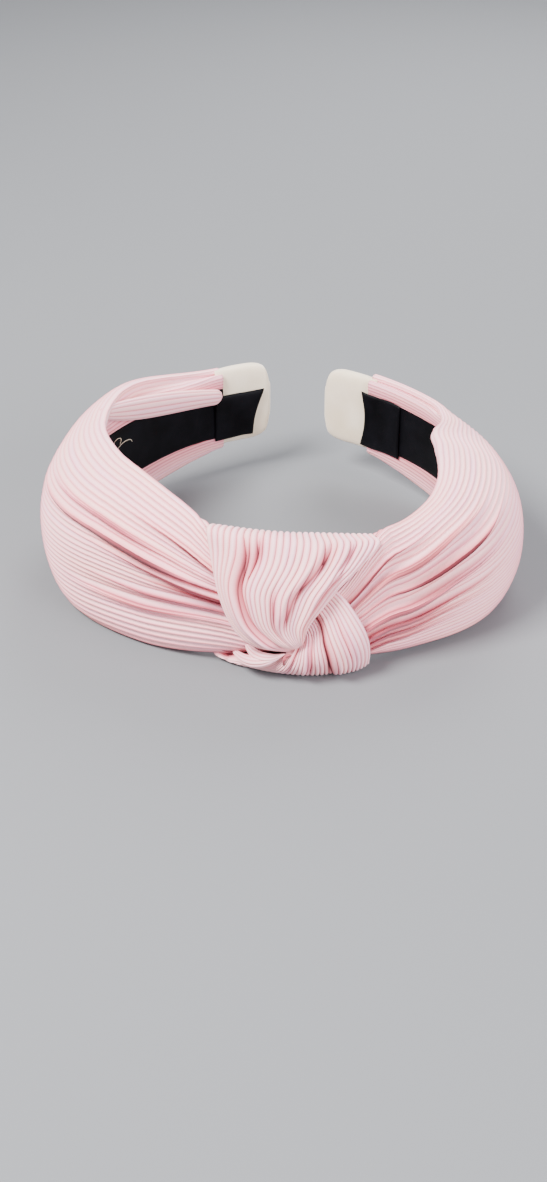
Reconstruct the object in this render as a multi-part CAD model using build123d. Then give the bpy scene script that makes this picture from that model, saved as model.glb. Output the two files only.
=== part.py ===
"""Knotted headband: a springy C-shaped strip, padded, sleeved in ribbed fabric and knotted at the crown.

Millimetres. The band stands on its lower rim, +Z up, crown towards -Y, tips towards +Y.
A place on the band is (s, u, z): s runs along the strip's inner face from the middle of the crown,
positive to the right arm, u is the distance outwards from that face, and z is the height.
"""
from build123d import *
import math
import os

# The strip's inner face, as tangent arcs from the middle of the crown: (radius, turn in degrees).
CROWN_ARC = (82.0, 35.5)
ARM_ARCS = [(35.0, 66.0), (85.0, 51.0), (120.0, 9.0)]
TIP = 174.0                # where the strip ends, short of the last arc's end

CORE_THICK = 1.6
CORE_LOW, CORE_HIGH = 13.0, 37.0
CORE_TIP_RADIUS = 9.0

FABRIC_TURN = 0.8          # the layer that turns under the lining: sleeve edge, tape or tip cover
RIBBON = 0.6               # thickness of the lining ribbon and of its end tabs
LINING_LOW, LINING_HIGH = 15.5, 34.5
TAPE_LOW, TAPE_HIGH = 18.5, 31.5
LINING_LEFT_END, LINING_RIGHT_END = -170.0, 159.0
TAB_LEFT, TAB_RIGHT = (-171.5, -154.5), (144.5, 160.5)
TAB_LOW, TAB_HIGH = 14.5, 35.0

SLEEVE_END = 158.0         # where the ribbed sleeve gives way to the tip cover
SLEEVE_THICK = 1.2
SLEEVE_STEP = 4.8
SEAT = 0.1                 # room between the turned-in fabric and its neighbours
COVER_GAP = 0.3
COVER_PAD = 1.6            # padding outside the strip, and above and below it 1 mm
COVER_EDGE = 1.0
COVER_OVERHANG = 1.2       # how far the cover runs past the strip's end
COVER_TIP_RADIUS = 8.5

FOAM_CROWN_THICK = 2.4
FOAM_LOW, FOAM_HIGH = 15.0, 35.0

KNOT_MID = 8.0             # the knot is tied a little to the right of the middle
WRAP_HALF = 19.0
WRAP_OUT = 8.2
WRAP_EDGE = 1.2
KNOT_BACK = 8.6            # the knot's visible folds lie outside this offset

OPEN_LIMIT, CLOSE_LIMIT = 22.0, 4.0     # degrees each arm springs outwards and inwards
FLEX_MARGIN = 3.0
FLEX_SLOT = 0.3
FLEX_DEPTH = 60.0

FLOOR = 0.0

# Sleeve section at each distance along the strip: lower rim, fullest point and upper rim, each (u, z).
SLEEVE_STATIONS = [
    (14.0, (3.5, 1.5), (8.0, 18.0), (2.0, 39.8)),
    (30.0, (4.0, 0.5), (8.2, 18.0), (1.0, 40.5)),
    (48.0, (6.0, -0.6), (10.5, 17.0), (-3.0, 43.5)),
    (70.0, (7.0, -0.8), (12.0, 17.0), (-8.0, 46.0)),
    (95.0, (6.0, -0.8), (12.0, 18.0), (-9.0, 47.0)),
    (120.0, (4.0, 2.5), (10.0, 21.0), (-6.0, 46.0)),
    (145.0, (2.5, 8.0), (7.0, 24.0), (-1.5, 42.5)),
    (SLEEVE_END, (2.2, 10.6), (5.2, 25.0), (1.0, 39.8)),
]
ROOT_LEFT, ROOT_RIGHT = 14.0, 30.0      # where the sleeves tuck under the knot

# Knot folds as level sections: height, left and right ends along the crown, and fullness u.
DRAPE_SECTIONS = [
    (13.0, -1.5, 8.5, 19.0),
    (20.0, -9.0, 15.0, 21.0),
    (28.0, -13.5, 23.5, 19.5),
    (36.0, -16.0, 29.0, 15.0),
    (41.5, -16.5, 32.0, 10.0),
]
LOOP_SECTIONS = [
    (-0.6, -6.0, 28.0, 14.0),
    (4.0, -13.0, 31.0, 17.5),
    (8.0, -6.0, 31.5, 19.5),
    (12.0, 4.0, 31.5, 20.0),
    (18.0, 11.0, 30.5, 18.5),
    (24.0, 17.5, 28.0, 15.0),
    (28.5, 23.0, 26.0, 12.0),
]


def band_arcs():
    """Every arc from the left tip to the right tip: (start s, end s, radius, centre, heading at start)."""
    arcs = []
    radius, turn = CROWN_ARC
    half = radius * math.radians(turn)
    arcs.append((-half, half, radius, (0.0, 0.0), -math.radians(turn)))
    s, heading = half, math.radians(turn)
    x, y = radius * math.sin(heading), -radius * math.cos(heading)
    for radius, turn in ARM_ARCS:
        sweep = math.radians(turn)
        centre = (x - radius * math.sin(heading), y + radius * math.cos(heading))
        length = radius * sweep
        arcs.append((s, s + length, radius, centre, heading))
        arcs.insert(0, (-s - length, -s, radius, (-centre[0], centre[1]), -heading - sweep))
        s, heading = s + length, heading + sweep
        x, y = centre[0] + radius * math.sin(heading), centre[1] - radius * math.cos(heading)
    return arcs


ARCS = band_arcs()
FLEX = ARCS[len(ARCS) // 2][1]          # the arms flex where the crown arc ends


def frame_at(s):
    """Arc centre, radius and heading of the strip's inner face at s."""
    for start, end, radius, centre, heading in ARCS:
        if s <= end:
            break
    return centre, radius, heading + (s - start) / radius


def outward(s):
    _, _, heading = frame_at(s)
    return Vector(math.sin(heading), -math.cos(heading), 0)


def place(s, u, z=0.0):
    """The point at (s, u, z)."""
    centre, radius, _ = frame_at(s)
    return Vector(centre[0], centre[1], z) + outward(s) * (radius + u)


def curve(u, s0, s1, z=0.0):
    """Edges along the band at offset u from s0 to s1."""
    edges = []
    for start, end, _, _, _ in ARCS:
        a, b = max(s0, start), min(s1, end)
        if b - a > 1e-6:
            middle = (a + b) / 2
            edges.append(Edge.make_three_point_arc(place(a, u, z), place(middle, u, z), place(b, u, z)))
    return edges


def strip(u0, u1, z0, z1, s0, s1):
    """A flat strip on edge, between two offsets, two heights and two places along the band."""
    ends = [Edge.make_line(place(s, u0, z0), place(s, u1, z0)) for s in (s0, s1)]
    face = Face(Wire(curve(u0, s0, s1, z0) + curve(u1, s0, s1, z0) + ends))
    return Solid.extrude(face, Vector(0, 0, z1 - z0))


def rounded_end(solid, s, thickness, radius):
    """Rounds the two corners of a strip's end at s."""
    end = place(s, 0)
    corners = [e for e in solid.edges() if e.length < thickness * 1.2
               and abs((e @ 0.5).Z - (e @ 0).Z) < 1e-6
               and Vector((e @ 0.5).X - end.X, (e @ 0.5).Y - end.Y, 0).length < thickness]
    return fillet(corners, radius)


def section_plane(s):
    """The plane across the band at s, with x outwards and y up."""
    return Plane(origin=place(s, 0), x_dir=outward(s), z_dir=outward(s).cross(Vector(0, 0, 1)))


def between(before, low, high, after, t):
    """Catmull-Rom value between low and high."""
    linear = (high - before) * t
    square = (2 * before - 5 * low + 4 * high - after) * t ** 2
    cube = (3 * low - before - 3 * high + after) * t ** 3
    return low + (linear + square + cube) / 2


def stations_from(first):
    """Closely spaced sleeve stations (s, lower rim, fullest point, upper rim) from first to the end."""
    flat = [(s, *lo, *mid, *hi) for s, lo, mid, hi in SLEEVE_STATIONS]
    count = round((SLEEVE_END - first) / SLEEVE_STEP)
    stations = []
    for step in range(count + 1):
        s = first + (SLEEVE_END - first) * step / count
        i = max(k for k in range(len(flat) - 1) if flat[k][0] <= s + 1e-6 or k == 0)
        t = (s - flat[i][0]) / (flat[i + 1][0] - flat[i][0])
        rows = [flat[max(i - 1, 0)], flat[i], flat[i + 1], flat[min(i + 2, len(flat) - 1)]]
        values = [between(*column, t) for column in zip(*rows)][1:]
        stations.append((s, values[0:2], values[2:4], values[4:6]))
    return stations


def smooth(points, steps):
    """A denser row of (u, z) points through the given ones."""
    ends = [points[0], *points, points[-1]]
    dense = []
    for before, low, high, after in zip(ends, ends[1:], ends[2:], ends[3:]):
        for step in range(steps):
            dense.append(tuple(between(*column, step / steps) for column in zip(before, low, high, after)))
    return dense + [points[-1]]


def sleeve_section(s, lo, mid, hi):
    """The sleeve's cut outline at s: a C of fabric whose two lips turn in under the lining."""
    far = SEAT - FABRIC_TURN
    lean = min(max(-hi[0] / 9.0, 0.0), 1.0)
    shoulder = (0.6 * mid[0] + 0.8, CORE_HIGH - 1.5)
    outside = smooth([(far, CORE_LOW - 1.4), lo, mid, shoulder, hi, (far, CORE_HIGH + 1.6 - 1.2 * lean)], 4)
    hollow_lo = (lo[0] - 0.3, lo[1] + min(2.4, CORE_LOW - 1.0 - lo[1]))
    hollow_mid = (mid[0] - SLEEVE_THICK, mid[1])
    hollow_shoulder = (shoulder[0] - 0.9, shoulder[1] - 0.7)
    hollow_hi = (hi[0] + 0.2 + 6.2 * lean, hi[1] - 1.4 - 4.0 * lean)
    hollow_end = (-SEAT, CORE_HIGH + 0.2 + 0.7 * lean)
    inside = smooth([(-SEAT, CORE_LOW - 0.2), hollow_lo, hollow_mid, hollow_shoulder, hollow_hi, hollow_end], 4)
    low_lip, high_lip = TAPE_LOW - SEAT, TAPE_HIGH + SEAT
    outline = [(far, low_lip), *outside, (far, high_lip), (-SEAT, high_lip), *inside[::-1], (-SEAT, low_lip)]
    corners = [section_plane(s).from_local_coords(Vector(u, z, 0)) for u, z in outline]
    return Face(Wire.make_polygon(corners, close=True))


def sleeve(side, root):
    """One side's fabric sleeve, round the strip and its foam and open behind the lining."""
    sections = [sleeve_section(side * s, lo, mid, hi) for s, lo, mid, hi in stations_from(root)]
    return loft(sections, ruled=True) - below_floor()


def foam_section(s, mid):
    """The foam's outline at s: flat against the strip, domed outwards."""
    back = CORE_THICK - 0.5
    dome = Spline((back, FOAM_LOW), (mid[0] - 3.0, mid[1] + 3.0), (back, FOAM_HIGH))
    return section_plane(s) * make_face(Curve() + [dome, Line((back, FOAM_HIGH), (back, FOAM_LOW))])


def foam(side):
    """The foam pad on the outside of one arm."""
    stations = stations_from(FLEX - 4)
    sections = [foam_section(side * s, mid) for s, _, mid, _ in stations]
    s0, s1 = sorted((side * stations[0][0], side * stations[-1][0]))
    return loft(sections, ruled=True) - strip(-5.0, CORE_THICK, 0.0, 60.0, s0, s1)


def below_floor():
    return Pos(0, 0, FLOOR - 10) * Box(400, 400, 20)


def flex_slot(side):
    """The wedge that leaves each arm room to spring about its flex line, wider on the outside."""
    heading = frame_at(side * FLEX)[2]
    pivot = place(side * FLEX, CORE_THICK / 2)
    along = Vector(math.cos(heading), math.sin(heading), 0) * (FLEX_SLOT / 2)
    out = outward(side * FLEX) * FLEX_DEPTH
    wide = (OPEN_LIMIT + FLEX_MARGIN) / 2
    narrow = (CLOSE_LIMIT + FLEX_MARGIN) / 2
    outline = [pivot + along, pivot + along + out.rotate(Axis.Z, wide), pivot - along + out.rotate(Axis.Z, -wide),
               pivot - along, pivot - along - out.rotate(Axis.Z, narrow) * 0.4,
               pivot + along - out.rotate(Axis.Z, -narrow) * 0.4]
    face = Face(Wire.make_polygon([p + Vector(0, 0, -5) for p in outline], close=True))
    return Solid.extrude(face, Vector(0, 0, 70))


def split_at_flex(shape):
    """Cuts a piece at both flex lines and returns its solids from left to right along the band."""
    cut = shape - flex_slot(-1) - flex_slot(1)
    return sorted(cut.solids(), key=lambda solid: solid.center().X)


def level_section(z, left, right, full, back):
    """A fold's level section: along the crown at the back, domed out to u = full at the front."""
    middle = (left + right) / 2
    front = Edge.make_three_point_arc(place(left, KNOT_BACK, z), place(middle, full, z), place(right, KNOT_BACK, z))
    rear = Edge.make_three_point_arc(place(left, back, z), place(middle, back, z), place(right, back, z))
    ends = [Edge.make_line(place(s, back, z), place(s, KNOT_BACK, z)) for s in (left, right)]
    return Face(Wire([front, rear, *ends]))


def knot_folds(sections):
    """A fold of the knot, hollowed where the wrap and the sleeves lie behind it."""
    body = loft([level_section(z, left, right, full, -FABRIC_TURN) for z, left, right, full in sections],
                ruled=True)
    body -= strip(-20.0, KNOT_BACK, -10.0, CORE_HIGH + WRAP_EDGE, -45.0, 45.0)
    body -= strip(-20.0, KNOT_BACK, -10.0, 60.0, -45.0, KNOT_MID - WRAP_HALF)
    return body - strip(-20.0, KNOT_BACK, -10.0, 60.0, KNOT_MID + WRAP_HALF, 45.0)


def knot_wrap():
    """The turn of fabric under the knot, right round the strip and its foam, under the lining."""
    s0, s1 = KNOT_MID - WRAP_HALF, KNOT_MID + WRAP_HALF
    ring = strip(-FABRIC_TURN, WRAP_OUT, CORE_LOW - WRAP_EDGE, CORE_HIGH + WRAP_EDGE, s0, s1)
    return ring - strip(0.0, CORE_THICK + FOAM_CROWN_THICK, CORE_LOW, CORE_HIGH, s0, s1)


def tip_cover(side):
    """The soft sock over one tip of the strip."""
    s0, s1 = sorted((side * (SLEEVE_END + COVER_GAP), side * (TIP + COVER_OVERHANG)))
    thickness = FABRIC_TURN + CORE_THICK + COVER_PAD
    sock = strip(-FABRIC_TURN, CORE_THICK + COVER_PAD, CORE_LOW - COVER_EDGE, CORE_HIGH + COVER_EDGE, s0, s1)
    sock = rounded_end(sock, side * (TIP + COVER_OVERHANG), thickness, COVER_TIP_RADIUS)
    return sock - core()


def core():
    """The moulded strip, whole."""
    blank = strip(0.0, CORE_THICK, CORE_LOW, CORE_HIGH, -TIP, TIP)
    blank = rounded_end(blank, -TIP, CORE_THICK, CORE_TIP_RADIUS)
    return rounded_end(blank, TIP, CORE_THICK, CORE_TIP_RADIUS)


def ribbon(layer, low, high, s0, s1):
    """A ribbon on the inner face, in the given layer counted from the turned fabric."""
    near = -FABRIC_TURN - layer * RIBBON
    return strip(near - RIBBON, near, low, high, s0, s1)


def build():
    nodes = {}
    nodes["core_arm_left"], nodes["core_crown"], nodes["core_arm_right"] = split_at_flex(core())
    lining = ribbon(0, LINING_LOW, LINING_HIGH, LINING_LEFT_END, LINING_RIGHT_END)
    nodes["lining_arm_left"], nodes["lining_crown"], nodes["lining_arm_right"] = split_at_flex(lining)

    wrap_left, wrap_right = KNOT_MID - WRAP_HALF, KNOT_MID + WRAP_HALF
    left_tape = strip(-FABRIC_TURN, 0.0, TAPE_LOW, TAPE_HIGH, -SLEEVE_END, wrap_left)
    right_tape = strip(-FABRIC_TURN, 0.0, TAPE_LOW, TAPE_HIGH, wrap_right, SLEEVE_END)
    nodes["tape_arm_left"], nodes["tape_crown_left"] = split_at_flex(left_tape)
    nodes["tape_crown_right"], nodes["tape_arm_right"] = split_at_flex(right_tape)

    pad = strip(CORE_THICK, CORE_THICK + FOAM_CROWN_THICK, FOAM_LOW, FOAM_HIGH, -FLEX, FLEX)
    nodes["foam_crown"] = max((pad - flex_slot(-1) - flex_slot(1)).solids(), key=lambda solid: solid.volume)
    nodes["foam_arm_left"] = max((foam(-1) - flex_slot(-1)).solids(), key=lambda solid: solid.volume)
    nodes["foam_arm_right"] = max((foam(1) - flex_slot(1)).solids(), key=lambda solid: solid.volume)

    nodes["sleeve_arm_left"], nodes["sleeve_crown_left"] = split_at_flex(sleeve(-1, ROOT_LEFT))
    nodes["sleeve_crown_right"], nodes["sleeve_arm_right"] = split_at_flex(sleeve(1, ROOT_RIGHT))

    nodes["tip_cover_left"] = tip_cover(-1)
    nodes["tip_cover_right"] = tip_cover(1)
    nodes["end_tab_left"] = ribbon(1, TAB_LOW, TAB_HIGH, *TAB_LEFT)
    nodes["end_tab_right"] = ribbon(1, TAB_LOW, TAB_HIGH, *TAB_RIGHT)

    nodes["knot_wrap"] = knot_wrap()
    nodes["knot_drape"] = knot_folds(DRAPE_SECTIONS)
    nodes["knot_loop"] = knot_folds(LOOP_SECTIONS) - nodes["knot_drape"] - below_floor()
    return nodes


def centred(nodes):
    """Moves everything so that the footprint's middle is at the origin."""
    box = Compound(children=[Compound([solid for solid in shape.solids()]) for shape in nodes.values()]).bounding_box()
    middle = box.center()
    print(f"origin shift x {-middle.X:.3f} y {-middle.Y:.3f}, size {box.size.X:.1f} {box.size.Y:.1f} {box.size.Z:.1f}")
    return {name: Pos(-middle.X, -middle.Y, 0) * shape for name, shape in nodes.items()}


os.makedirs("parts", exist_ok=True)
for name, shape in centred(build()).items():
    export_step(shape, f"parts/{name}.step")
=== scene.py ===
"""Looks of the knotted headband: ribbed sleeves, knot, lining, tip covers, materials, light and camera.

Lengths are in millimetres until a mesh is made. A place on the band is (s, u, z): s runs along the
strip's inner face from the middle of the crown, positive to the right, u is the distance outwards
from that face, and z is the height above the floor.
"""
import math

import bpy
import numpy as np
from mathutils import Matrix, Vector


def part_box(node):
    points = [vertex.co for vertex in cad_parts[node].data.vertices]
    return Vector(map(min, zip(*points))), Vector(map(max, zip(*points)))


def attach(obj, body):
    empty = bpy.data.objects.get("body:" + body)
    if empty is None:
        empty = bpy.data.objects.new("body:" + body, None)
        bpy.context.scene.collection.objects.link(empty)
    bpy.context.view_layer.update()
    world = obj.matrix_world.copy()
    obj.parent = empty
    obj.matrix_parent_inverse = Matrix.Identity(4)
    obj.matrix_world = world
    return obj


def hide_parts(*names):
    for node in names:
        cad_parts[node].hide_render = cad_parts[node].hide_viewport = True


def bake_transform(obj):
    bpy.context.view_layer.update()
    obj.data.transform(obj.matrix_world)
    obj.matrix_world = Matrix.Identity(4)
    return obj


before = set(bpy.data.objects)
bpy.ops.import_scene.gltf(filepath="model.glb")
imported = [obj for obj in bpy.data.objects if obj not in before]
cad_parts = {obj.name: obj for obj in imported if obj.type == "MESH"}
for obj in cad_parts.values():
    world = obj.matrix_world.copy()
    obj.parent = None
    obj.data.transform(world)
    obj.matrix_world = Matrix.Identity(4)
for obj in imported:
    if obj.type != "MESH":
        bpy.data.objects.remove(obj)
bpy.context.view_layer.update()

MM = 0.001
RNG = np.random.default_rng(11)

# The strip's inner face, as tangent arcs from the middle of the crown: (radius, turn in degrees).
CROWN_ARC = (82.0, 35.5)
ARM_ARCS = [(35.0, 66.0), (85.0, 51.0), (120.0, 9.0)]
CORE_THICK = 1.6
CROWN_LOW, CROWN_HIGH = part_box("core_crown")
CROWN_MID_X = (CROWN_LOW.x + CROWN_HIGH.x) / 2 / MM
CROWN_FACE_Y = CROWN_LOW.y / MM + CORE_THICK
TIP = 174.0

SAMPLES_PER_RIB = 8

# How far round each sleeve, from the lining's lower edge (0) to the upper rim (1), the ribs at RIB_GUIDES
# (shares of all ribs) lie beside the knot and at the tip, and over what distance they settle.
RIB_GUIDES = (0.25, 0.45, 0.62, 0.80)
LEFT_RIBS = ((0.45, 0.65, 0.74, 0.84), (0.31, 0.55, 0.78, 1.0))
RIGHT_RIBS = ((0.42, 0.57, 0.75, 0.96), (0.35, 0.60, 0.80, 1.0))
RIBS_SETTLE = (104.0, 104.0, 40.0, 28.0)
# Where each sleeve comes out of the knot and where both end, how far their upper rims lean in over the
# opening, how far their lower rims climb towards the tips, and how far behind the strip's inner face the
# turned-in cloth lies.
LEFT_START, RIGHT_START = -4.0, 14.0
SLEEVE_END = 158.0
LEFT_LEAN, RIGHT_LEAN = 13.0, 16.8
RIM_CLIMB = 10.4
TURNED_IN = -0.85

# The knot's fan: where its fold crosses the top rim, how high, how far that edge falls to the right, the
# (s, u, z) where its ribs draw together, how far out it bulges and how far its middle ribs swerve left.
FAN_LEFT, FAN_RIGHT = -16.4, 30.9
FAN_TOP, FAN_FALL = 42.2, 4.3
FAN_FOOT = (7.2, 15.1, 9.6)
FAN_BULGE = 16.6
FAN_SWERVE = 5.2
# The knot's loop: its start under the fan and its end under the lower rim, at its left and right edges
# (s, u, z), how far it bulges past the line between them, and where those edges lie behind the strip.
LOOP_START = ((5.7, 14.8, 9.6), (19.6, 11.3, 25.4))
LOOP_END = ((-14.4, 7.6, 1.6), (26.8, 12.4, 2.2))
LOOP_BULGE = 4.2
LOOP_BACK = (-10.0, 24.4)
# Pleats where each sleeve is gathered into the knot: (share of the ribs, half width in shares, depth,
# distance from the crown's middle where it is deepest, distance where it has faded out).
LEFT_PLEATS = [
    (0.672, 0.012, 2.0, 18, 46), (0.600, 0.013, 2.6, 44, 84), (0.552, 0.014, 3.4, 34, 92),
    (0.500, 0.013, 3.0, 20, 62), (0.440, 0.010, 1.5, 14, 44), (0.385, 0.010, 1.5, 24, 60),
    (0.325, 0.011, 2.0, 32, 66),
]
RIGHT_PLEATS = [
    (0.685, 0.011, 1.4, 28, 50), (0.620, 0.013, 2.8, 40, 72), (0.555, 0.013, 2.4, 50, 76),
    (0.490, 0.014, 3.4, 34, 76), (0.420, 0.013, 3.0, 32, 72), (0.360, 0.012, 2.4, 32, 68),
    (0.305, 0.011, 1.9, 30, 60),
]
SLEEVE_RIBS = 54
SLEEVE_ROW = 0.8           # distance between a sleeve's rows of points
SLEEVE_ROUND = 88.0        # a sleeve's cloth, measured round the band
KNOT_BACK_U, KNOT_BACK_Z = -0.95, 33.5     # where the fan's cloth starts, behind the strip
PATCH_EDGE = 0.07          # share of a folded patch that rolls over at each side
PATCH_BACK_COLUMNS = 24
FIBRES, FIBRE_POINTS, FIBRE_RADIUS = 7, 24, 0.07

LINING_LOW, LINING_HIGH = 15.5, 34.5
LINING_FACE, RIBBON_THICK = -0.9, 0.6      # where the lining lies on the strip, and its thickness
TAB_FACE, TAB_THICK, TAB_RIPPLE = -1.5, 0.7, 0.12
COVER_START = 156.0
COVER_OVERHANG = 2.2       # how far a tip cover runs past the strip's end
COVER_CORNER, COVER_CAP = 9.0, 2.4         # lengths over which its corners and its end close in
FOLD_START, FOLD_END = 99.0, 157.0         # the left sleeve's turned-over edge

CAMERA_PLACE = (37.06, -456.29, 283.69)
CAMERA_TARGET = (-3.66, 13.42, -18.5)
CAMERA_LENS = 51.6
CAMERA_SENSOR = 36.0
FLOOR_HALF_WIDTH = 6.0     # metres
FLOOR_COLOUR = (0.165, 0.17, 0.182, 1)


# ---------------------------------------------------------------- curves and surfaces

def arm_arcs():
    """The right half's arcs: (start s, radius, centre x, centre y, heading at start)."""
    radius, turn = CROWN_ARC
    x, y = 0.0, CROWN_FACE_Y + radius
    arcs = [(0.0, radius, x, y, 0.0)]
    s, heading = radius * math.radians(turn), math.radians(turn)
    for next_radius, turn in ARM_ARCS:
        x += (radius - next_radius) * math.sin(heading)
        y -= (radius - next_radius) * math.cos(heading)
        arcs.append((s, next_radius, x, y, heading))
        s += next_radius * math.radians(turn)
        heading += math.radians(turn)
        radius = next_radius
    return arcs


ARCS = arm_arcs()


def place(s, u, z):
    """Points, in millimetres in the row frame, of the places (s, u, z)."""
    s, u, z = np.broadcast_arrays(np.asarray(s, float), u, z)
    along = np.abs(s)
    x, y = np.zeros(s.shape), np.zeros(s.shape)
    for start, radius, centre_x, centre_y, heading in ARCS:
        angle = heading + (along - start) / radius
        here = along >= start
        x = np.where(here, centre_x + (radius + u) * np.sin(angle), x)
        y = np.where(here, centre_y - (radius + u) * np.cos(angle), y)
    return np.stack([CROWN_MID_X + np.where(s < 0, -x, x), y, z], axis=-1)


def spline(knots, values, query):
    """Natural cubic spline through values at knots, at each query."""
    knots, values, query = np.asarray(knots, float), np.asarray(values, float), np.asarray(query, float)
    gaps = np.diff(knots)
    count = len(knots)
    system = np.eye(count)
    right = np.zeros((count, *values.shape[1:]))
    slopes = np.diff(values, axis=0) / gaps.reshape(-1, *[1] * (values.ndim - 1))
    for i in range(1, count - 1):
        system[i, i - 1:i + 2] = gaps[i - 1], 2 * (gaps[i - 1] + gaps[i]), gaps[i]
        right[i] = 6 * (slopes[i] - slopes[i - 1])
    bend = np.linalg.solve(system, right.reshape(count, -1)).reshape(right.shape)
    i = np.clip(np.searchsorted(knots, query, side="right") - 1, 0, count - 2)
    shape = (*query.shape, *[1] * (values.ndim - 1))
    gap = gaps[i].reshape(shape)
    ahead = (query - knots[i]).reshape(shape)
    behind = gap - ahead
    cubic = (bend[i] * behind ** 3 + bend[i + 1] * ahead ** 3) / (6 * gap)
    return (cubic + (values[i] / gap - bend[i] * gap / 6) * behind
            + (values[i + 1] / gap - bend[i + 1] * gap / 6) * ahead)


def resample(points, shares):
    """Points at the given shares of a dense polyline's length."""
    lengths = np.linalg.norm(np.diff(points, axis=0), axis=1)
    travelled = np.concatenate([[0], np.cumsum(lengths)])
    where = np.asarray(shares) * travelled[-1]
    return np.stack([np.interp(where, travelled, column) for column in points.T], axis=-1)


def smoothstep(low, high, value):
    t = np.clip((value - low) / (high - low), 0, 1)
    return t * t * (3 - 2 * t)


def unit(vectors):
    return vectors / np.maximum(np.linalg.norm(vectors, axis=-1, keepdims=True), 1e-9)


def surface_normals(points):
    """Unit normals of a grid of points, and unit vectors along its rows."""
    down = np.gradient(points, axis=0)
    across = np.gradient(points, axis=1)
    normal = np.cross(across, down)
    return unit(normal), unit(across)


def soft_noise(shape, smooth_rows, smooth_cols):
    """Seeded smooth noise from about -1 to 1, on a grid of that shape."""
    coarse = RNG.normal(size=(max(4, shape[0] // smooth_rows), max(4, shape[1] // smooth_cols)))
    rows = spline(np.linspace(0, 1, coarse.shape[0]), coarse, np.linspace(0, 1, shape[0]))
    return spline(np.linspace(0, 1, coarse.shape[1]), rows.T, np.linspace(0, 1, shape[1])).T * 0.6


# ---------------------------------------------------------------- meshes

def grid_mesh(name, points, material, caps, painted_shade=None, cloth=None):
    """A mesh over a grid of points in millimetres, whose rows are closed rings. caps closes the first
    and last rings: "fan" to a middle point, or "flat" across a ring whose second half runs back along
    its first."""
    rows, cols = points.shape[:2]
    index = np.arange(rows * cols).reshape(rows, cols)
    index = np.concatenate([index, index[:, :1]], axis=1)
    quads = [index[:-1, :-1], index[:-1, 1:], index[1:, 1:], index[1:, :-1]]
    faces = np.stack(quads, axis=-1).reshape(-1, 4).tolist()
    verts = points.reshape(-1, 3)
    # Per-point painted shade for the knit: 0 on lit crests, 1 in the deepest shade.
    values = np.zeros(len(verts)) if painted_shade is None else painted_shade.reshape(-1)
    if caps == "flat":
        for row, flip in ((index[0], True), (index[-1], False)):
            for i in range(cols // 2 - 1):
                face = [int(row[i]), int(row[i + 1]), int(row[cols - 2 - i]), int(row[cols - 1 - i])]
                faces.append(face[::-1] if flip else face)
    if caps == "fan":
        for row, flip in ((index[0], True), (index[-1], False)):
            centre = len(verts)
            verts = np.vstack([verts, points[0 if flip else -1].mean(axis=0)])
            # The cap's middle point gets full painted shade.
            values = np.append(values, 1.0)
            for a, b in zip(row[:-1], row[1:]):
                faces.append([int(b), int(a), centre] if flip else [int(a), int(b), centre])
    mesh = bpy.data.meshes.new(name)
    mesh.from_pydata((verts * MM).tolist(), [], faces)
    mesh.polygons.foreach_set("use_smooth", [True] * len(mesh.polygons))
    attribute = mesh.attributes.new("painted_shade", "FLOAT", "POINT")
    attribute.data.foreach_set("value", values.astype(np.float32))
    if cloth is not None:
        flat = cloth.reshape(-1, 2)
        flat = np.vstack([flat, np.zeros((len(verts) - len(flat), 2))])
        corners = np.empty(len(mesh.loops), np.int32)
        mesh.loops.foreach_get("vertex_index", corners)
        layer = mesh.uv_layers.new(name="cloth")
        layer.data.foreach_set("uv", flat[corners].astype(np.float32).ravel())
    mesh.validate()
    mesh.update()
    obj = bpy.data.objects.new(name, mesh)
    bpy.context.scene.collection.objects.link(obj)
    mesh.materials.append(material)
    return obj


def tube(name, path, radii, material, sides=16, ribs=0, rib_height=0.0):
    """A closed tube along a path of points; radii are (outwards, up) at each point."""
    path, radii = np.asarray(path, float), np.asarray(radii, float)
    along = np.gradient(path, axis=0)
    along /= np.linalg.norm(along, axis=1, keepdims=True)
    up = np.array([0, 0, 1.0])
    out = np.cross(along, up)
    out /= np.linalg.norm(out, axis=1, keepdims=True)
    lift = np.cross(out, along)
    turn = np.linspace(0, 2 * math.pi, sides, endpoint=False)
    ridge = 1 - rib_shape(turn / (2 * math.pi) * ribs) if ribs else np.zeros(sides)
    swell = 1 - rib_height * ridge
    points = (path[:, None] + out[:, None] * (radii[:, :1] * np.cos(turn) * swell)[..., None]
              + lift[:, None] * (radii[:, 1:] * np.sin(turn) * swell)[..., None])
    # Painted shade in the valleys between the tube's ribs.
    painted_shade = np.broadcast_to(ridge * 0.6, points.shape[:2])
    cloth = np.stack(np.broadcast_arrays(np.arange(len(path))[:, None] * 0.6, turn[None] * 2.0), axis=-1)
    return grid_mesh(name, points, material, caps="fan", painted_shade=painted_shade, cloth=cloth)


def rib_shape(phase):
    """Height, 0 to 1, of rounded ribs with narrow valleys at whole phases."""
    fraction = phase - np.floor(phase)
    return np.clip(1 - (2 * fraction - 1) ** 2, 0, 1) ** 0.62


# ---------------------------------------------------------------- materials

def new_material(name):
    material = bpy.data.materials.new(name)
    material.use_nodes = True
    nodes = material.node_tree.nodes
    return material, nodes, material.node_tree.links, nodes["Principled BSDF"]


def add_ramp(nodes, stops):
    ramp = nodes.new("ShaderNodeValToRGB")
    while len(ramp.color_ramp.elements) < len(stops):
        ramp.color_ramp.elements.new(0.5)
    for element, (position, colour) in zip(ramp.color_ramp.elements, stops):
        element.position = position
        element.color = (*colour, 1)
    return ramp


def add_noise(nodes, links, coordinates, scale, detail=3.0, stretch=(1, 1, 1)):
    mapping = nodes.new("ShaderNodeMapping")
    mapping.inputs["Scale"].default_value = stretch
    links.new(coordinates, mapping.inputs["Vector"])
    noise = nodes.new("ShaderNodeTexNoise")
    noise.inputs["Scale"].default_value = scale
    noise.inputs["Detail"].default_value = detail
    links.new(mapping.outputs["Vector"], noise.inputs["Vector"])
    return noise


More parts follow.
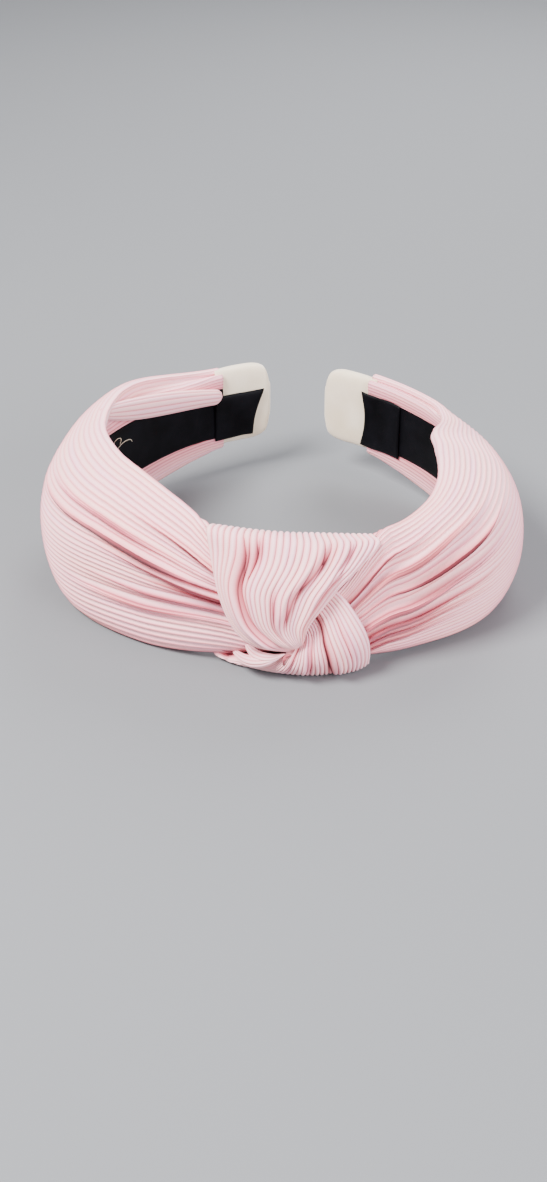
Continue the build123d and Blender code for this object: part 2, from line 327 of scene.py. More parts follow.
def add_bump(nodes, links, shader, heights):
    """Stacks bumps from (height socket, distance in metres, strength)."""
    normal = None
    for height, distance, strength in heights:
        bump = nodes.new("ShaderNodeBump")
        bump.inputs["Distance"].default_value = distance
        bump.inputs["Strength"].default_value = strength
        links.new(height, bump.inputs["Height"])
        if normal is not None:
            links.new(normal, bump.inputs["Normal"])
        normal = bump.outputs["Normal"]
    links.new(normal, shader.inputs["Normal"])


def ribbed_knit():
    """Blush pink pleated knit: pale on the ribs, with painted shade in rose to near black in the creases, and
    cream and lilac in streaks.
    """
    material, nodes, links, shader = new_material("ribbed_knit")
    cloth = nodes.new("ShaderNodeUVMap")
    cloth.uv_map = "cloth"
    painted_shade = nodes.new("ShaderNodeAttribute")
    painted_shade.attribute_name = "painted_shade"
    # Painted shade: this ramp turns the per-point shading value into pale rose on the rib crests (0), deeper
    # rose in the creases and near black in the deepest pleat slits (1).
    rose = add_ramp(nodes, [(0.0, (0.97, 0.60, 0.64)), (0.35, (0.88, 0.37, 0.42)), (0.7, (0.56, 0.13, 0.17)),
                            (1.0, (0.12, 0.012, 0.022))])
    links.new(painted_shade.outputs["Fac"], rose.inputs["Fac"])
    streaks = add_noise(nodes, links, cloth.outputs["UV"], 1.0, 2.0, (0.03, 0.45, 1))
    tint = add_ramp(nodes, [(0.32, (1.0, 0.97, 0.86)), (0.5, (1.0, 0.95, 0.95)), (0.68, (0.95, 0.88, 1.0))])
    links.new(streaks.outputs["Fac"], tint.inputs["Fac"])
    blend = nodes.new("ShaderNodeMix")
    blend.data_type = "RGBA"
    blend.blend_type = "MULTIPLY"
    blend.inputs["Factor"].default_value = 0.8
    links.new(rose.outputs["Color"], blend.inputs["A"])
    links.new(tint.outputs["Color"], blend.inputs["B"])
    links.new(blend.outputs["Result"], shader.inputs["Base Color"])
    stitches = nodes.new("ShaderNodeTexWave")
    stitches.wave_type = "BANDS"
    stitches.bands_direction = "X"
    stitches.inputs["Scale"].default_value = 0.62
    stitches.inputs["Distortion"].default_value = 1.6
    stitches.inputs["Detail Scale"].default_value = 2.0
    links.new(cloth.outputs["UV"], stitches.inputs["Vector"])
    fuzz = add_noise(nodes, links, cloth.outputs["UV"], 3.0, 4.0)
    relief = [(stitches.outputs["Fac"], 0.00006, 0.5), (fuzz.outputs["Fac"], 0.00008, 0.5)]
    add_bump(nodes, links, shader, relief)
    rough = nodes.new("ShaderNodeMapRange")
    rough.inputs["To Min"].default_value = 0.68
    rough.inputs["To Max"].default_value = 0.86
    links.new(fuzz.outputs["Fac"], rough.inputs["Value"])
    links.new(rough.outputs["Result"], shader.inputs["Roughness"])
    shader.inputs["Sheen Weight"].default_value = 0.12
    shader.inputs["Sheen Roughness"].default_value = 0.45
    shader.inputs["Sheen Tint"].default_value = (1.0, 0.86, 0.88, 1)
    shader.inputs["Specular IOR Level"].default_value = 0.3
    return material


def brushed_ivory():
    """Soft ivory cloth with a short nap, a little darker where it has been handled."""
    material, nodes, links, shader = new_material("brushed_ivory")
    position = nodes.new("ShaderNodeTexCoord").outputs["Object"]
    cloud = add_noise(nodes, links, position, 90.0, 3.0)
    colour = add_ramp(nodes, [(0.3, (0.72, 0.59, 0.43)), (0.7, (0.82, 0.71, 0.56))])
    links.new(cloud.outputs["Fac"], colour.inputs["Fac"])
    links.new(colour.outputs["Color"], shader.inputs["Base Color"])
    nap = add_noise(nodes, links, position, 2600.0, 5.0)
    add_bump(nodes, links, shader, [(nap.outputs["Fac"], 0.00012, 0.6), (cloud.outputs["Fac"], 0.0004, 0.4)])
    shader.inputs["Roughness"].default_value = 0.85
    shader.inputs["Sheen Weight"].default_value = 0.5
    shader.inputs["Specular IOR Level"].default_value = 0.25
    return material


def black_satin():
    """Black satin ribbon: a fine cross weave, with soft folds that catch the light."""
    material, nodes, links, shader = new_material("black_satin")
    cloth = nodes.new("ShaderNodeUVMap")
    cloth.uv_map = "cloth"
    weave = nodes.new("ShaderNodeTexWave")
    weave.bands_direction = "DIAGONAL"
    weave.inputs["Scale"].default_value = 0.9
    weave.inputs["Distortion"].default_value = 0.6
    links.new(cloth.outputs["UV"], weave.inputs["Vector"])
    wear = add_noise(nodes, links, cloth.outputs["UV"], 0.12, 3.0)
    colour = add_ramp(nodes, [(0.35, (0.0012, 0.0012, 0.0018)), (0.75, (0.004, 0.004, 0.006))])
    links.new(wear.outputs["Fac"], colour.inputs["Fac"])
    links.new(colour.outputs["Color"], shader.inputs["Base Color"])
    rough = nodes.new("ShaderNodeMapRange")
    rough.inputs["To Min"].default_value = 0.38
    rough.inputs["To Max"].default_value = 0.58
    links.new(wear.outputs["Fac"], rough.inputs["Value"])
    links.new(rough.outputs["Result"], shader.inputs["Roughness"])
    add_bump(nodes, links, shader, [(weave.outputs["Fac"], 0.00004, 0.5), (wear.outputs["Fac"], 0.0005, 0.3)])
    shader.inputs["Specular IOR Level"].default_value = 0.07
    return material


def moulded(name, dark, light, roughness, grain):
    """A plain moulded or cut material, faintly mottled and grained."""
    material, nodes, links, shader = new_material(name)
    position = nodes.new("ShaderNodeTexCoord").outputs["Object"]
    mottle = add_noise(nodes, links, position, 180.0, 3.0)
    colour = add_ramp(nodes, [(0.3, dark), (0.7, light)])
    links.new(mottle.outputs["Fac"], colour.inputs["Fac"])
    links.new(colour.outputs["Color"], shader.inputs["Base Color"])
    fine = add_noise(nodes, links, position, grain, 4.0)
    add_bump(nodes, links, shader, [(fine.outputs["Fac"], 0.00005, 0.5)])
    shader.inputs["Roughness"].default_value = roughness
    return material


KNIT = ribbed_knit()
IVORY = brushed_ivory()
SATIN = black_satin()
PLASTIC = moulded("moulded_black", (0.008, 0.008, 0.009), (0.018, 0.018, 0.020), 0.42, 2200.0)
FOAM = moulded("charcoal_foam", (0.018, 0.017, 0.018), (0.035, 0.033, 0.034), 0.9, 900.0)
TAPE = moulded("tissue_tape", (0.50, 0.47, 0.42), (0.60, 0.57, 0.52), 0.7, 1500.0)


# ---------------------------------------------------------------- sleeves

def pleat_fields(share, s, pleats):
    """Height, sideways pull and painted shade of gathered pleats at each share round the sleeve."""
    height, pull, dark = 0.0, 0.0, 0.0
    for centre, width, depth, deepest, end in pleats:
        strength = 1 - smoothstep(deepest, end, s)
        strength = strength * (0.3 + 0.7 * smoothstep(deepest - 26, deepest, s))
        offset = (share - centre) / width
        above, below = np.clip(offset, 0, None), np.clip(offset, None, 0)
        trough = np.where(offset > 0, np.exp(-above / 0.5), np.exp(below / 1.5))
        roll = np.exp(-((offset - 2.4) / 1.5) ** 2) * 0.35 + np.exp(-((offset + 3.2) / 2.0) ** 2) * 0.25
        height = height + depth * strength * (roll - trough)
        pull = pull - depth * 0.6 * strength * np.where(offset > 0, np.exp(-above / 1.2), 0)
        # Painted shade along each pleat's slit, strongest for the deep pleats.
        dark = dark + strength * np.exp(-np.abs(offset + 0.12) / 0.6) * min(1.0, depth / 1.6)
    return height, pull, np.clip(dark, 0, 1)


def lower_rim(s):
    """Lower rim (u, z) shared by both sleeves: it follows the strip up towards the tip."""
    low_u = 6.3 - 4.3 * smoothstep(75, SLEEVE_END, s)
    low_z = 0.4 + RIM_CLIMB * np.clip((s - 90) / 68, 0, 1) ** 1.5
    return low_u, low_z


def left_section(s):
    """The left sleeve's lower rim, fullest point, shoulder and upper rim, each (u, z), at each s. The two
    numbers in a smoothstep are the distances between which that change takes place."""
    low_u, low_z = lower_rim(s)
    low_z = low_z + 4.1 * (1 - smoothstep(LEFT_START, 35, s))
    squeezed = 1 - smoothstep(LEFT_START, 12, s)
    filled_out = smoothstep(30, 104, s)
    tapered = smoothstep(108, SLEEVE_END, s)
    full_u = 9.2 + 1.3 * squeezed + 3.6 * filled_out - 8.2 * tapered
    climb = smoothstep(80, 160, s)
    full_z = 17.0 + 8.0 * climb - 4.0 * (1 - smoothstep(LEFT_START, 14, s))
    gathered = 1 - smoothstep(LEFT_START, 52, s)
    haunch = np.exp(-((s - 110) / 18) ** 2)
    shoulder_u = 6.5 + 3.7 * gathered + 3.4 * haunch - 3.0 * smoothstep(125, SLEEVE_END, s)
    shoulder_z = 38.2 - 18.2 * np.exp(-(s - LEFT_START) / 26) - 2.7 * smoothstep(120, 160, s)
    rim_u = 0.6 + 7.4 * (1 - smoothstep(-14, 30, s))
    rim_u = rim_u - LEFT_LEAN * smoothstep(4, 58, s) * (1 - smoothstep(62, 132, s))
    rim_z = 47.4 - 19.4 * np.exp(-(s - LEFT_START) / 18) - 7.6 * smoothstep(112, 160, s)
    return np.stack([low_u, low_z, full_u, full_z, shoulder_u, shoulder_z, rim_u, rim_z], axis=-1)


def right_section(s):
    """The right sleeve's lower rim, fullest point, shoulder and upper rim, each (u, z), at each s."""
    low_u, low_z = lower_rim(s)
    low_u = low_u + 2.0 * (1 - smoothstep(10, 42, s))
    low_z = low_z + 2.6 * (1 - smoothstep(RIGHT_START, 40, s))
    filled_out = smoothstep(38, 66, s)
    tapered = smoothstep(78, SLEEVE_END, s)
    full_u = 10.5 + 1.9 * filled_out - 7.6 * tapered
    climb = smoothstep(80, 160, s)
    full_z = 17.0 + 8.0 * climb - 5.5 * (1 - smoothstep(10, 44, s))
    shoulder_u = 4.0 + 6.2 * np.exp(-(s - RIGHT_START) / 55)
    gathered = 1 - smoothstep(8, 56, s)
    shoulder_z = 37.4 - 19.1 * gathered - 1.6 * smoothstep(100, SLEEVE_END, s)
    rim_u = 0.6 + 8.0 * (1 - smoothstep(RIGHT_START, 36, s))
    rim_u = rim_u - RIGHT_LEAN * smoothstep(24, 86, s) * (1 - smoothstep(94, 132, s))
    rim_z = 39.6 - 15.6 * (1 - smoothstep(RIGHT_START, 34, s)) + 0.2 * smoothstep(100, 130, s)
    rim_z = rim_z + 7.0 * smoothstep(34, 80, s) * (1 - smoothstep(96, 126, s))
    return np.stack([low_u, low_z, full_u, full_z, shoulder_u, shoulder_z, rim_u, rim_z], axis=-1)


def sleeve_outlines(section, s):
    """Outlines in (u, z) at each s, from the lining's lower edge round the outside to its upper edge,
    and how far along each outline the upper rim is."""
    rows = section(s)
    outlines, rims = [], []
    for lo_u, lo_z, mid_u, mid_z, sh_u, sh_z, rim_u, rim_z in rows:
        lean = np.clip(-rim_u / 9, 0, 1)
        top = min(rim_z - 1.2, 38.8 - 1.0 * lean)
        turned_under = [(TURNED_IN, min(19.0, top - 2)), (TURNED_IN, max(11.8, lo_z + 0.8))]
        low = [(lo_u - 1.4, lo_z + 0.35), (lo_u + 1.6, lo_z + 1.3),
               ((lo_u + mid_u) / 2 + 1.6, (lo_z + mid_z) / 2 - 0.6)]
        rim = [(rim_u + 1.9, rim_z - 0.1), (rim_u + 0.2, rim_z - 0.6), (rim_u + 0.5, rim_z - 2.0)]
        turned_over = [(-1.0, top), (TURNED_IN, min(31.0, top - 1))]
        controls = [*turned_under, *low, (mid_u, mid_z), (sh_u, sh_z), *rim, *turned_over]
        controls = np.array(controls)
        knots = np.concatenate([[0], np.cumsum(np.sqrt(np.linalg.norm(np.diff(controls, axis=0), axis=1)))])
        outline = spline(knots, controls, np.linspace(0, knots[-1], 300))
        outlines.append(outline)
        lengths = np.linalg.norm(np.diff(outline, axis=0), axis=1)
        rim_knot = knots[8]
        rims.append(lengths[:round(rim_knot / knots[-1] * 299)].sum() / lengths.sum())
    return np.array(outlines), np.array(rims)


def rib_positions(ends, rims, s, share):
    """How far along its outline each rib share lies, at each s."""
    at_knot, at_tip = np.array(ends)
    settled = np.clip((s[:, None] - s[0]) / np.array(RIBS_SETTLE), 0, 1)
    guides = at_knot + (at_tip - at_knot) * settled * settled * (3 - 2 * settled)
    positions = []
    for guide, rim in zip(guides, rims):
        knots = [0.0, *RIB_GUIDES, 1.0]
        positions.append(spline(knots, np.array([0.0, *(guide * rim), 1.0]), share))
    return np.maximum.accumulate(np.clip(positions, 0, 1), axis=1)


def sleeve(name, side, section, first, rib_ends, pleats, node_names):
    """One ribbed sleeve, gathered into the knot."""
    s = np.linspace(first, SLEEVE_END, int((SLEEVE_END - first) / SLEEVE_ROW))
    columns = SLEEVE_RIBS * SAMPLES_PER_RIB + 1
    share = np.linspace(0, 1, columns)
    outlines, rims = sleeve_outlines(section, s)
    positions = rib_positions(rib_ends, rims, s, share)
    base = np.array([resample(outline, position) for outline, position in zip(outlines, positions)])
    points = place(side * s[:, None], base[..., 0], base[..., 1])
    normal, across = surface_normals(points)
    normal *= side
    wander = soft_noise((len(s), columns), 22, 34) * 0.5
    column = s[:, None]
    height, pull, dark = pleat_fields(share[None], column, pleats)
    outside = smoothstep(0.05, 0.16, share) * (1 - smoothstep(0.84, 0.95, share))
    steps = np.linalg.norm(np.gradient(points, axis=1), axis=-1)
    pitch = np.clip(steps * SAMPLES_PER_RIB, 0.5, 2.2)
    ribs = rib_shape(share[None] * SLEEVE_RIBS)
    near_knot = 1 - smoothstep(30, 90, column)
    rib_height = pitch * (0.24 + 0.20 * near_knot) * (0.35 + 0.65 * outside[None])
    puff = soft_noise((len(s), columns), 30, 70) * (0.22 + 0.35 * near_knot) * outside[None]
    lift = height * outside[None] + (ribs - 0.5) * rib_height + puff
    points = points + normal * lift[..., None] + across * ((pull + wander) * outside[None])[..., None]
    points[..., 2] = np.maximum(points[..., 2], 0.05)
    # Painted shade: darker in the rib valleys, more so near the knot, in the pleat slits and on the cloth
    # turned in under the rims.
    painted_shade = np.clip((1 - ribs) * (0.42 + 0.18 * near_knot) + dark * 0.95 + (1 - outside) * 0.35, 0, 1)
    cloth = np.stack(np.broadcast_arrays(column, share[None] * SLEEVE_ROUND), axis=-1)
    if side < 0:
        points, painted_shade, cloth = points[:, ::-1], painted_shade[:, ::-1], cloth[:, ::-1]
    obj = grid_mesh(name, points, KNIT, caps="fan", painted_shade=painted_shade, cloth=cloth)
    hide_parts(*node_names)
    across_flex(obj, side)


def across_flex(obj, side):
    """Bakes obj's transform into its mesh; the flex line's ends are worked out for one arm but nothing bends.
    """
    start = Vector(place(side * 34.0, 0.0, 25.0)) * MM
    end = Vector(place(side * 68.0, 0.0, 25.0)) * MM
    end.x = start.x + (end.x - start.x) * 0.5
    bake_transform(obj)


# ---------------------------------------------------------------- knot

def folded_patch(name, guides, ribs, rows, thickness, pleats, bulge, node_names):
    """A folded width of ribbed cloth. guides are rib lines, each (share across, [(s, u, z), ...])."""
    down = np.linspace(0, 1, rows)
    shares = [share for share, _ in guides]
    lines = []
    for _, line in guides:
        line = np.array(line, float)
        knots = np.concatenate([[0], np.cumsum(np.linalg.norm(np.diff(line, axis=0), axis=1) ** 0.6)])
        dense = spline(knots / knots[-1], line, np.linspace(0, 1, 300))
        lines.append(resample(dense, down))
    front_count = ribs * SAMPLES_PER_RIB + 1
    across = np.linspace(0, 1, front_count)
    places = np.moveaxis(spline(shares, np.array(lines), across), 0, 1)
    places[..., 1] += bulge(across[None], down[:, None])
    front = place(places[..., 0], places[..., 1], places[..., 2])
    normal, sideways = surface_normals(front)
    middle = front_count // 2
    fullest = np.argmax(places[:, middle, 1])
    if normal[fullest, middle, 1] > 0:
        normal = -normal
    width = np.linalg.norm(np.diff(front, axis=1), axis=-1).sum(axis=1)[:, None]
    ridge = rib_shape(across[None] * ribs)
    height, pull, dark = pleats(across[None], down[:, None])
    edge_distance = np.clip(np.abs(2 * across - 1) - (1 - 2 * PATCH_EDGE), 0, None) / (2 * PATCH_EDGE)
    roll = 1 - np.sqrt(np.clip(1 - edge_distance ** 2, 0, 1))
    depth = thickness(down)[:, None]
    rib_height = 0.40 * width / ribs
    lift = height * np.minimum(1, width / 18) + (ridge - 0.5) * rib_height - roll[None] * depth * 0.5
    shaped = front + normal * lift[..., None] + sideways * (pull * np.minimum(1, width / 18))[..., None]
    back_across = np.linspace(1 - 0.5 / front_count, 0.5 / front_count, PATCH_BACK_COLUMNS)
    picks = np.round(back_across * (front_count - 1)).astype(int)
    back = front[:, picks] - normal[:, picks] * depth[..., None]
    points = np.concatenate([shaped, back], axis=1)
    points[..., 2] = np.maximum(points[..., 2], 0.05)
    # Painted shade: darker in the rib valleys and pleat slits, and over the whole back of the fold.
    painted_shade = np.clip((1 - ridge) * 0.62 + dark * 0.9, 0, 1) * np.ones((rows, 1))
    painted_shade = np.concatenate([painted_shade, np.full((rows, PATCH_BACK_COLUMNS), 0.8)], axis=1)
    length = np.linalg.norm(np.diff(front[:, middle], axis=0), axis=1).sum()
    flat = np.concatenate([across, back_across]) * width.mean()
    cloth = np.stack(np.broadcast_arrays(down[:, None] * length, flat[None]), axis=-1)
    obj = grid_mesh(name, points, KNIT, caps="fan", painted_shade=painted_shade, cloth=cloth)
    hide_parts(*node_names)
    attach(obj, "crown")


def drawn_pleats(pleats):
    """Pleats that run down a patch: (share at top, share at foot, start, end, half width, depth, lean),
    where lean 1 opens them to the right and -1 to the left."""
    def fields(across, down):
        shape = np.broadcast_shapes(across.shape, down.shape)
        height, pull, dark = np.zeros(shape), np.zeros(shape), np.zeros(shape)
        for top, foot, start, end, half, depth, lean in pleats:
            centre = top + (foot - top) * smoothstep(0.0, 1.0, down)
            strength = smoothstep(start, start + 0.16, down) * (1 - smoothstep(end - 0.16, end, down))
            offset = (across - centre) / half * lean
            trough = np.where(offset > 0, np.exp(-offset / 0.6), np.exp(np.clip(offset, None, 0) / 1.8))
            roll = np.exp(-((offset - 2.2) / 1.4) ** 2) * 0.4
            height += depth * strength * (roll - trough)
            pull -= lean * depth * 0.5 * strength * np.where(offset > 0, np.exp(-offset / 1.3), 0)
            # Painted shade along each pleat's slit.
            dark += strength * np.exp(-np.abs(offset + 0.1) / 0.95) * min(1.2, depth / 1.5)
        return height, pull, np.clip(dark, 0, 1)
    return fields


def fan_line(across):
    """One rib line of the fan: up the back, over the top rim, then swerving down to the foot."""
    top_s = FAN_LEFT + (FAN_RIGHT - FAN_LEFT) * across
    top_z = FAN_TOP - FAN_FALL * across ** 1.6
    foot_s, foot_u, foot_z = FAN_FOOT[0] + 1.8 * across, FAN_FOOT[1], FAN_FOOT[2] + 2.2 * across
    middle = math.sin(math.pi * across)
    top_u = 4.8 + 2.4 * middle
    down = 1 - (1 - np.linspace(0, 1, 12)) ** 1.5
    fullest = FAN_BULGE + 1.6 * middle
    lag = 0.29 + 0.8 * across
    swerve = FAN_SWERVE * math.sin(0.8 * math.pi * across ** 0.7)
    aside = smoothstep(0, 0.45, down) * np.sin(math.pi * (0.5 + 0.5 * smoothstep(0.55, 1, down))) ** 0.8
    s = foot_s + (top_s - foot_s) * (1 - down) ** lag - swerve * aside
    u = top_u + (fullest - top_u) * (1 - (1 - down) ** (1.2 + 1.8 * middle + 0.6 * across))
    u = u - (fullest - foot_u) * smoothstep(0.88, 1, down)
    z = top_z - (top_z - foot_z) * down
    behind = [(top_s, KNOT_BACK_U, KNOT_BACK_Z), (top_s, -2.0, min(38.5, top_z - 1.5)),
              (top_s, 1.4, top_z - 0.3)]
    return behind + list(zip(s, u, z))


def drape():
    """The upper fold: it comes over the top rim and its ribs draw together at the front of the knot."""
    pleats = drawn_pleats([
        (0.22, 0.26, 0.23, 0.98, 0.026, 3.0, -1), (0.33, 0.245, 0.21, 0.52, 0.018, 1.9, -1),
        (0.47, 0.52, 0.50, 0.96, 0.016, 1.3, 1), (0.73, 0.58, 0.22, 0.84, 0.024, 3.0, -1),
        (0.84, 0.80, 0.20, 0.48, 0.016, 1.5, -1), (0.87, 0.84, 0.40, 1.0, 0.024, 2.8, -1),
    ])
    folded_patch(
        "knot_fan", [(across, fan_line(across)) for across in np.linspace(0, 1, 9)], 27, 200,
        lambda down: 0.7 + 2.6 * smoothstep(0.25, 0.5, down), pleats,
        lambda across, down: 0.5 * np.sin(math.pi * across) * smoothstep(0.3, 0.6, down), ["knot_drape"])


def loop_line(across):
    """One rib line of the loop: from under the fan, over the front, under the lower rim and up the back."""
    (left_s, left_u, left_z), (right_s, right_u, right_z) = LOOP_START
    start_s = left_s + (right_s - left_s) * across ** 1.5
    start_u = left_u + (right_u - left_u) * across ** 2
    start_z = left_z + (right_z - left_z) * across ** 1.4
    (left_s, left_u, left_z), (right_s, right_u, right_z) = LOOP_END
    end_s = left_s + (right_s - left_s) * across ** 0.75
    end_u = 13.8 - (13.8 - left_u) * (1 - across) ** 3 - (13.8 - right_u) * across ** 8
    end_z = 0.6 + (left_z - 0.6) * (1 - across) ** 6 + (right_z - 0.6) * across ** 8
    down = 1 - (1 - np.linspace(0, 1, 8)) ** 1.6
    sideways = 1 - (1 - down) ** (0.45 + 2.2 * across ** 1.6)
    bulge = 1.2 + LOOP_BULGE * math.sin(0.85 * math.pi * across ** 1.2)
    s = start_s + (end_s - start_s) * sideways
    u = start_u + (end_u - start_u) * sideways + bulge * np.sin(math.pi * down) ** 0.8
    z = start_z + (end_z - start_z) * down
    back_s = LOOP_BACK[0] + (LOOP_BACK[1] - LOOP_BACK[0]) * across ** 0.9
    under = [(end_s * 0.6 + back_s * 0.4, end_u * 0.62, max(end_z * 0.8, 0.7)), (back_s, 4.6, 1.2),
             (back_s, 1.0, 5.2), (back_s, -1.1, 10.6), (back_s, -1.6, 12.8), (back_s, KNOT_BACK_U, 16.8)]
    return [(start_s - 4.0, start_u - 4.5, start_z + 3.0)] + list(zip(s, u, z)) + under


def loop():
    """The lower fold: it comes from under the drape, rolls over the front and wraps under the lower rim."""
    guides = [(across, loop_line(across)) for across in np.linspace(0, 1, 9)]
    pleats = drawn_pleats([
        (0.69, 0.69, 0.00, 0.56, 0.024, 2.6, 1), (0.53, 0.50, 0.10, 0.50, 0.018, 1.7, -1),
        (0.84, 0.84, 0.12, 0.45, 0.015, 1.0, 1), (0.34, 0.34, 0.08, 0.45, 0.015, 1.2, -1),
    ])
    folded_patch(
        "knot_roll", guides, 30, 180, lambda down: 3.0 - 2.3 * smoothstep(0.45, 0.7, down), pleats,
        lambda across, down: 0.3 * np.sin(math.pi * across) * (1 - smoothstep(0.3, 0.5, down)),
        ["knot_loop", "knot_wrap"])


def tucks():
    """Two narrow rolls of cloth caught between the drape and the loop."""
    for number in (1, 2):
        shares = np.linspace(0, 1, 60)
        start_s, start_u, start_z = -2.2 - 3.8 * number, 7.8 - 1.2 * number, 11.8 - 3.8 * number
        along = start_s + (5.2 - start_s) * shares
        out = start_u + (16.5 - start_u) * (1 - (1 - shares) ** 2.4)
        up = start_z + (10.1 - start_z) * shares - 1.7 * np.sin(math.pi * shares)
        size = 0.12 + 1.5 * np.sin(math.pi * shares)
        obj = tube(f"knot_tuck_{number}", place(along, out, up), np.stack([size * 1.1, size], axis=1), KNIT,
                   sides=56, ribs=8, rib_height=0.2)
        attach(obj, "crown")


# ---------------------------------------------------------------- lining, covers and trim

def ribbon(name, s0, s1, low, high, near, thick, end_curve=0.0, end_slant=0.0, ripple=0.06):
    """A thin ribbon on the strip's inner face; its far end curves in by end_curve at mid height, and
    its lower corner stops short by end_slant."""
    rows = int(abs(s1 - s0) / 1.0) + 2
    cols = 25
    across = np.linspace(0, 1, cols)
    along = np.linspace(0, 1, rows)[:, None]
    curve_in = end_curve * (1 - (2 * across - 1) ** 2) + end_slant * (1 - across)
    s = s0 + (s1 - s0) * along - np.sign(s1 - s0) * curve_in[None] * smoothstep(0.4, 1.0, along)
    z = low + (high - low) * across[None] + soft_noise((rows, cols), 14, 25) * 0.25
    wave = soft_noise((rows, cols), 9, 12) * ripple
    face = place(s, near - thick * (1 - 0.7 * (np.abs(2 * across - 1) ** 8)) + wave, z)
    rear = place(s, near, z)
    points = np.concatenate([face, rear[:, ::-1]], axis=1)
    flat = np.concatenate([across, across[::-1]]) * (high - low)
    cloth = np.stack(np.broadcast_arrays(np.abs(s[:, :1]), flat[None]), axis=-1)
    if s1 < s0:
        points, cloth = points[:, ::-1], cloth[:, ::-1]
    obj = grid_mesh(name, points, SATIN, caps="flat", cloth=cloth)
    return obj


def linings():
    left = ribbon("lining_left", 0.0, -SLEEVE_END, LINING_LOW, LINING_HIGH, LINING_FACE, RIBBON_THICK)
    right = ribbon("lining_right", 0.0, SLEEVE_END, LINING_LOW, LINING_HIGH, LINING_FACE, RIBBON_THICK)
    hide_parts("lining_crown", "lining_arm_left")
    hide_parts("lining_arm_right")
    for obj, side, body, flat_length in ((left, -1, "left_arm", 0.158), (right, 1, "right_arm", 0.158)):
        across_flex(obj, side)
    tab_left = ribbon("end_tab_cloth_left", -154.5, -173.2, 14.8, 31.0, TAB_FACE, TAB_THICK,
                      end_curve=1.0, end_slant=4.4, ripple=TAB_RIPPLE)
    tab_right = ribbon("end_tab_cloth_right", 143.5, 160.6, 14.4, 34.0, TAB_FACE, TAB_THICK,
                       end_curve=2.0, ripple=TAB_RIPPLE)
    tabs = ((tab_left, "end_tab_left", "left_arm"), (tab_right, "end_tab_right", "right_arm"))
    for obj, node, body in tabs:
        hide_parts(node)
        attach(obj, body)


def tip_cover(name, side, node, body, low, high):
    """The padded ivory sock over one end of the strip, from low to high at its widest."""
    end = TIP + COVER_OVERHANG
    rows, cols = 90, 96
    shares = np.linspace(0, 1, rows)
    s = COVER_START + (end - COVER_START) * (1 - (1 - shares) ** 1.6)
    to_end = np.clip((end - s) / COVER_CORNER, 0, 1)
    corner = np.sqrt(np.clip(1 - (1 - to_end) ** 2.6, 0.0004, 1))
    thin = np.sqrt(np.clip(1 - (1 - np.clip((end - s) / COVER_CAP, 0, 1)) ** 2, 0.0004, 1))
    turn = np.linspace(0, 2 * math.pi, cols, endpoint=False)
    half_z = (high - low) / 2 * (0.5 + 0.5 * corner) * np.maximum(thin, 0.7)
    half_u = (1.8 + 0.55 * smoothstep(157, 162, s)) * thin
    round_u = np.sign(np.cos(turn)) * np.abs(np.cos(turn)) ** 0.55
    round_z = np.sign(np.sin(turn)) * np.abs(np.sin(turn)) ** 0.32
    soft = soft_noise((rows, cols), 18, 14) * 0.12
    u = 1.25 + half_u[:, None] * round_u[None] + soft * np.sign(round_u)[None]
    z = (low + high) / 2 + half_z[:, None] * round_z[None]
    points = place(side * s[:, None], u, z)
    if side > 0:
        points = points[:, ::-1]
    obj = grid_mesh(name, points, IVORY, caps="fan")
    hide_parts(node)
    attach(obj, body)


def inner_fold():
    """The left sleeve's upper edge, turned over in a soft roll that slopes down the inner face of the arm."""
    s = -np.linspace(FOLD_START, FOLD_END, 100)
    shares = np.linspace(0, 1, 100)
    end = np.sqrt(np.clip(1 - (np.clip(shares - 0.95, 0, 1) / 0.05) ** 2, 0.02, 1))
    height = (1.6 + 1.9 * np.sin(math.pi * shares ** 0.8) + 1.0 * shares) * end
    centre = spline([0, 0.3, 0.55, 1], np.array([46.0, 40.4, 36.8, 31.5]), shares)
    path = place(s, -2.5 - 1.2 * np.sin(math.pi * shares), centre)
    radii = np.stack([(1.1 + 0.6 * np.sin(math.pi * shares)) * end, height], axis=1)
    obj = tube("sleeve_fold_left", path, radii, KNIT, sides=96, ribs=12, rib_height=0.09)
    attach(obj, "left_arm")


def loose_fibres():
    """A few cut threads standing off the left lining."""
    for number in range(FIBRES):
        s = -RNG.uniform(98, 110)
        z = RNG.uniform(24, 33)
        reach = RNG.uniform(1.2, 3.4)
        drift = RNG.normal(size=2) * 2.6
        steps = np.linspace(0, 1, FIBRE_POINTS)
        along = s + drift[0] * steps ** 1.3 + 0.7 * np.sin(steps * 7)
        out = -1.2 - reach * np.sin(steps * 1.8) * 0.8
        up = z + drift[1] * steps + 2.0 * np.sin(steps * 3.5)
        path = place(along, out, up)
        size = np.full((FIBRE_POINTS, 2), FIBRE_RADIUS)
        obj = tube(f"loose_fibre_{number + 1}", path, size, IVORY, sides=6)
        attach(obj, "left_arm")


def cad_materials():
    for name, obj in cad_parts.items():
        kind = name.split("_")[0]
        material = {"core": PLASTIC, "foam": FOAM, "tape": TAPE}.get(kind)
        if material:
            obj.data.materials.clear()
            obj.data.materials.append(material)


# ---------------------------------------------------------------- stage

def area_light(name, location, target, size, power, colour):
    data = bpy.data.lights.new(name, "AREA")
    data.shape = "DISK"
    data.size = size
    data.energy = power
    data.color = colour
    obj = bpy.data.objects.new(name, data)
    obj.location = location
    obj.rotation_mode = "QUATERNION"
    obj.rotation_quaternion = (Vector(target) - Vector(location)).to_track_quat("-Z", "Y")
    bpy.context.scene.collection.objects.link(obj)


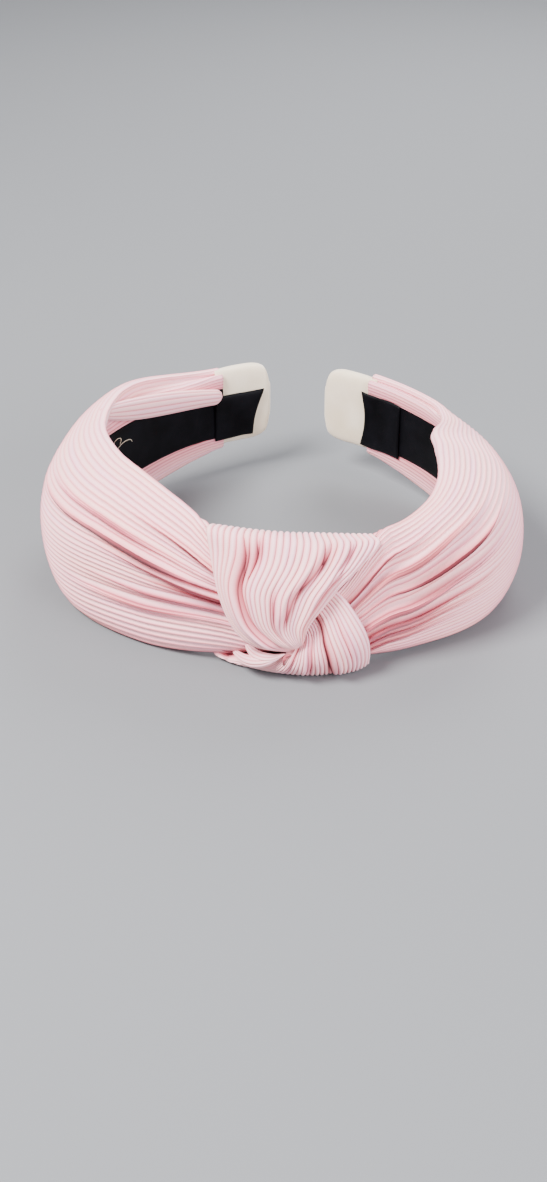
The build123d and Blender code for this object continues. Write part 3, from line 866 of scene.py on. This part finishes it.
def stage():
    mesh = bpy.data.meshes.new("floor")
    half = FLOOR_HALF_WIDTH
    corners = [(-half, -half, 0), (half, -half, 0), (half, half, 0), (-half, half, 0)]
    mesh.from_pydata(corners, [], [(0, 1, 2, 3)])
    floor = bpy.data.objects.new("floor", mesh)
    bpy.context.scene.collection.objects.link(floor)
    material, _, _, shader = new_material("pale_floor")
    shader.inputs["Base Color"].default_value = FLOOR_COLOUR
    shader.inputs["Roughness"].default_value = 0.9
    mesh.materials.append(material)
    world = bpy.data.worlds.new("soft_sky")
    world.use_nodes = True
    world.node_tree.nodes["Background"].inputs["Color"].default_value = (0.96, 0.97, 1.0, 1)
    world.node_tree.nodes["Background"].inputs["Strength"].default_value = 0.7
    bpy.context.scene.world = world
    middle = (0, 0, 0.02)
    area_light("key", (-0.45, -0.35, 0.75), middle, 0.4, 28.0, (1.0, 0.985, 0.96))
    area_light("fill", (0.6, -0.45, 0.35), middle, 0.6, 11.0, (0.96, 0.97, 1.0))
    area_light("rim", (0.15, 0.6, 0.5), middle, 0.5, 7.0, (1.0, 1.0, 1.0))


def camera():
    """The camera stands in front of the knot, a little to its right, and looks down on it."""
    data = bpy.data.cameras.new("camera")
    data.lens = CAMERA_LENS
    data.sensor_width = CAMERA_SENSOR
    data.clip_start, data.clip_end = 0.01, 20.0
    obj = bpy.data.objects.new("camera", data)
    location, target = Vector(CAMERA_PLACE) * MM, Vector(CAMERA_TARGET) * MM
    obj.location = location
    obj.rotation_mode = "QUATERNION"
    obj.rotation_quaternion = (target - location).to_track_quat("-Z", "Y")
    bpy.context.scene.collection.objects.link(obj)
    bpy.context.scene.camera = obj


camera()
stage()
cad_materials()
sleeve("sleeve_left", -1, left_section, LEFT_START, LEFT_RIBS, LEFT_PLEATS,
       ["sleeve_crown_left", "sleeve_arm_left"])
sleeve("sleeve_right", 1, right_section, RIGHT_START, RIGHT_RIBS, RIGHT_PLEATS,
       ["sleeve_crown_right", "sleeve_arm_right"])
drape()
loop()
tucks()
linings()
tip_cover("tip_cover_cloth_left", -1, "tip_cover_left", "left_arm", 12.2, 39.8)
tip_cover("tip_cover_cloth_right", 1, "tip_cover_right", "right_arm", 12.4, 38.6)
inner_fold()
loose_fibres()
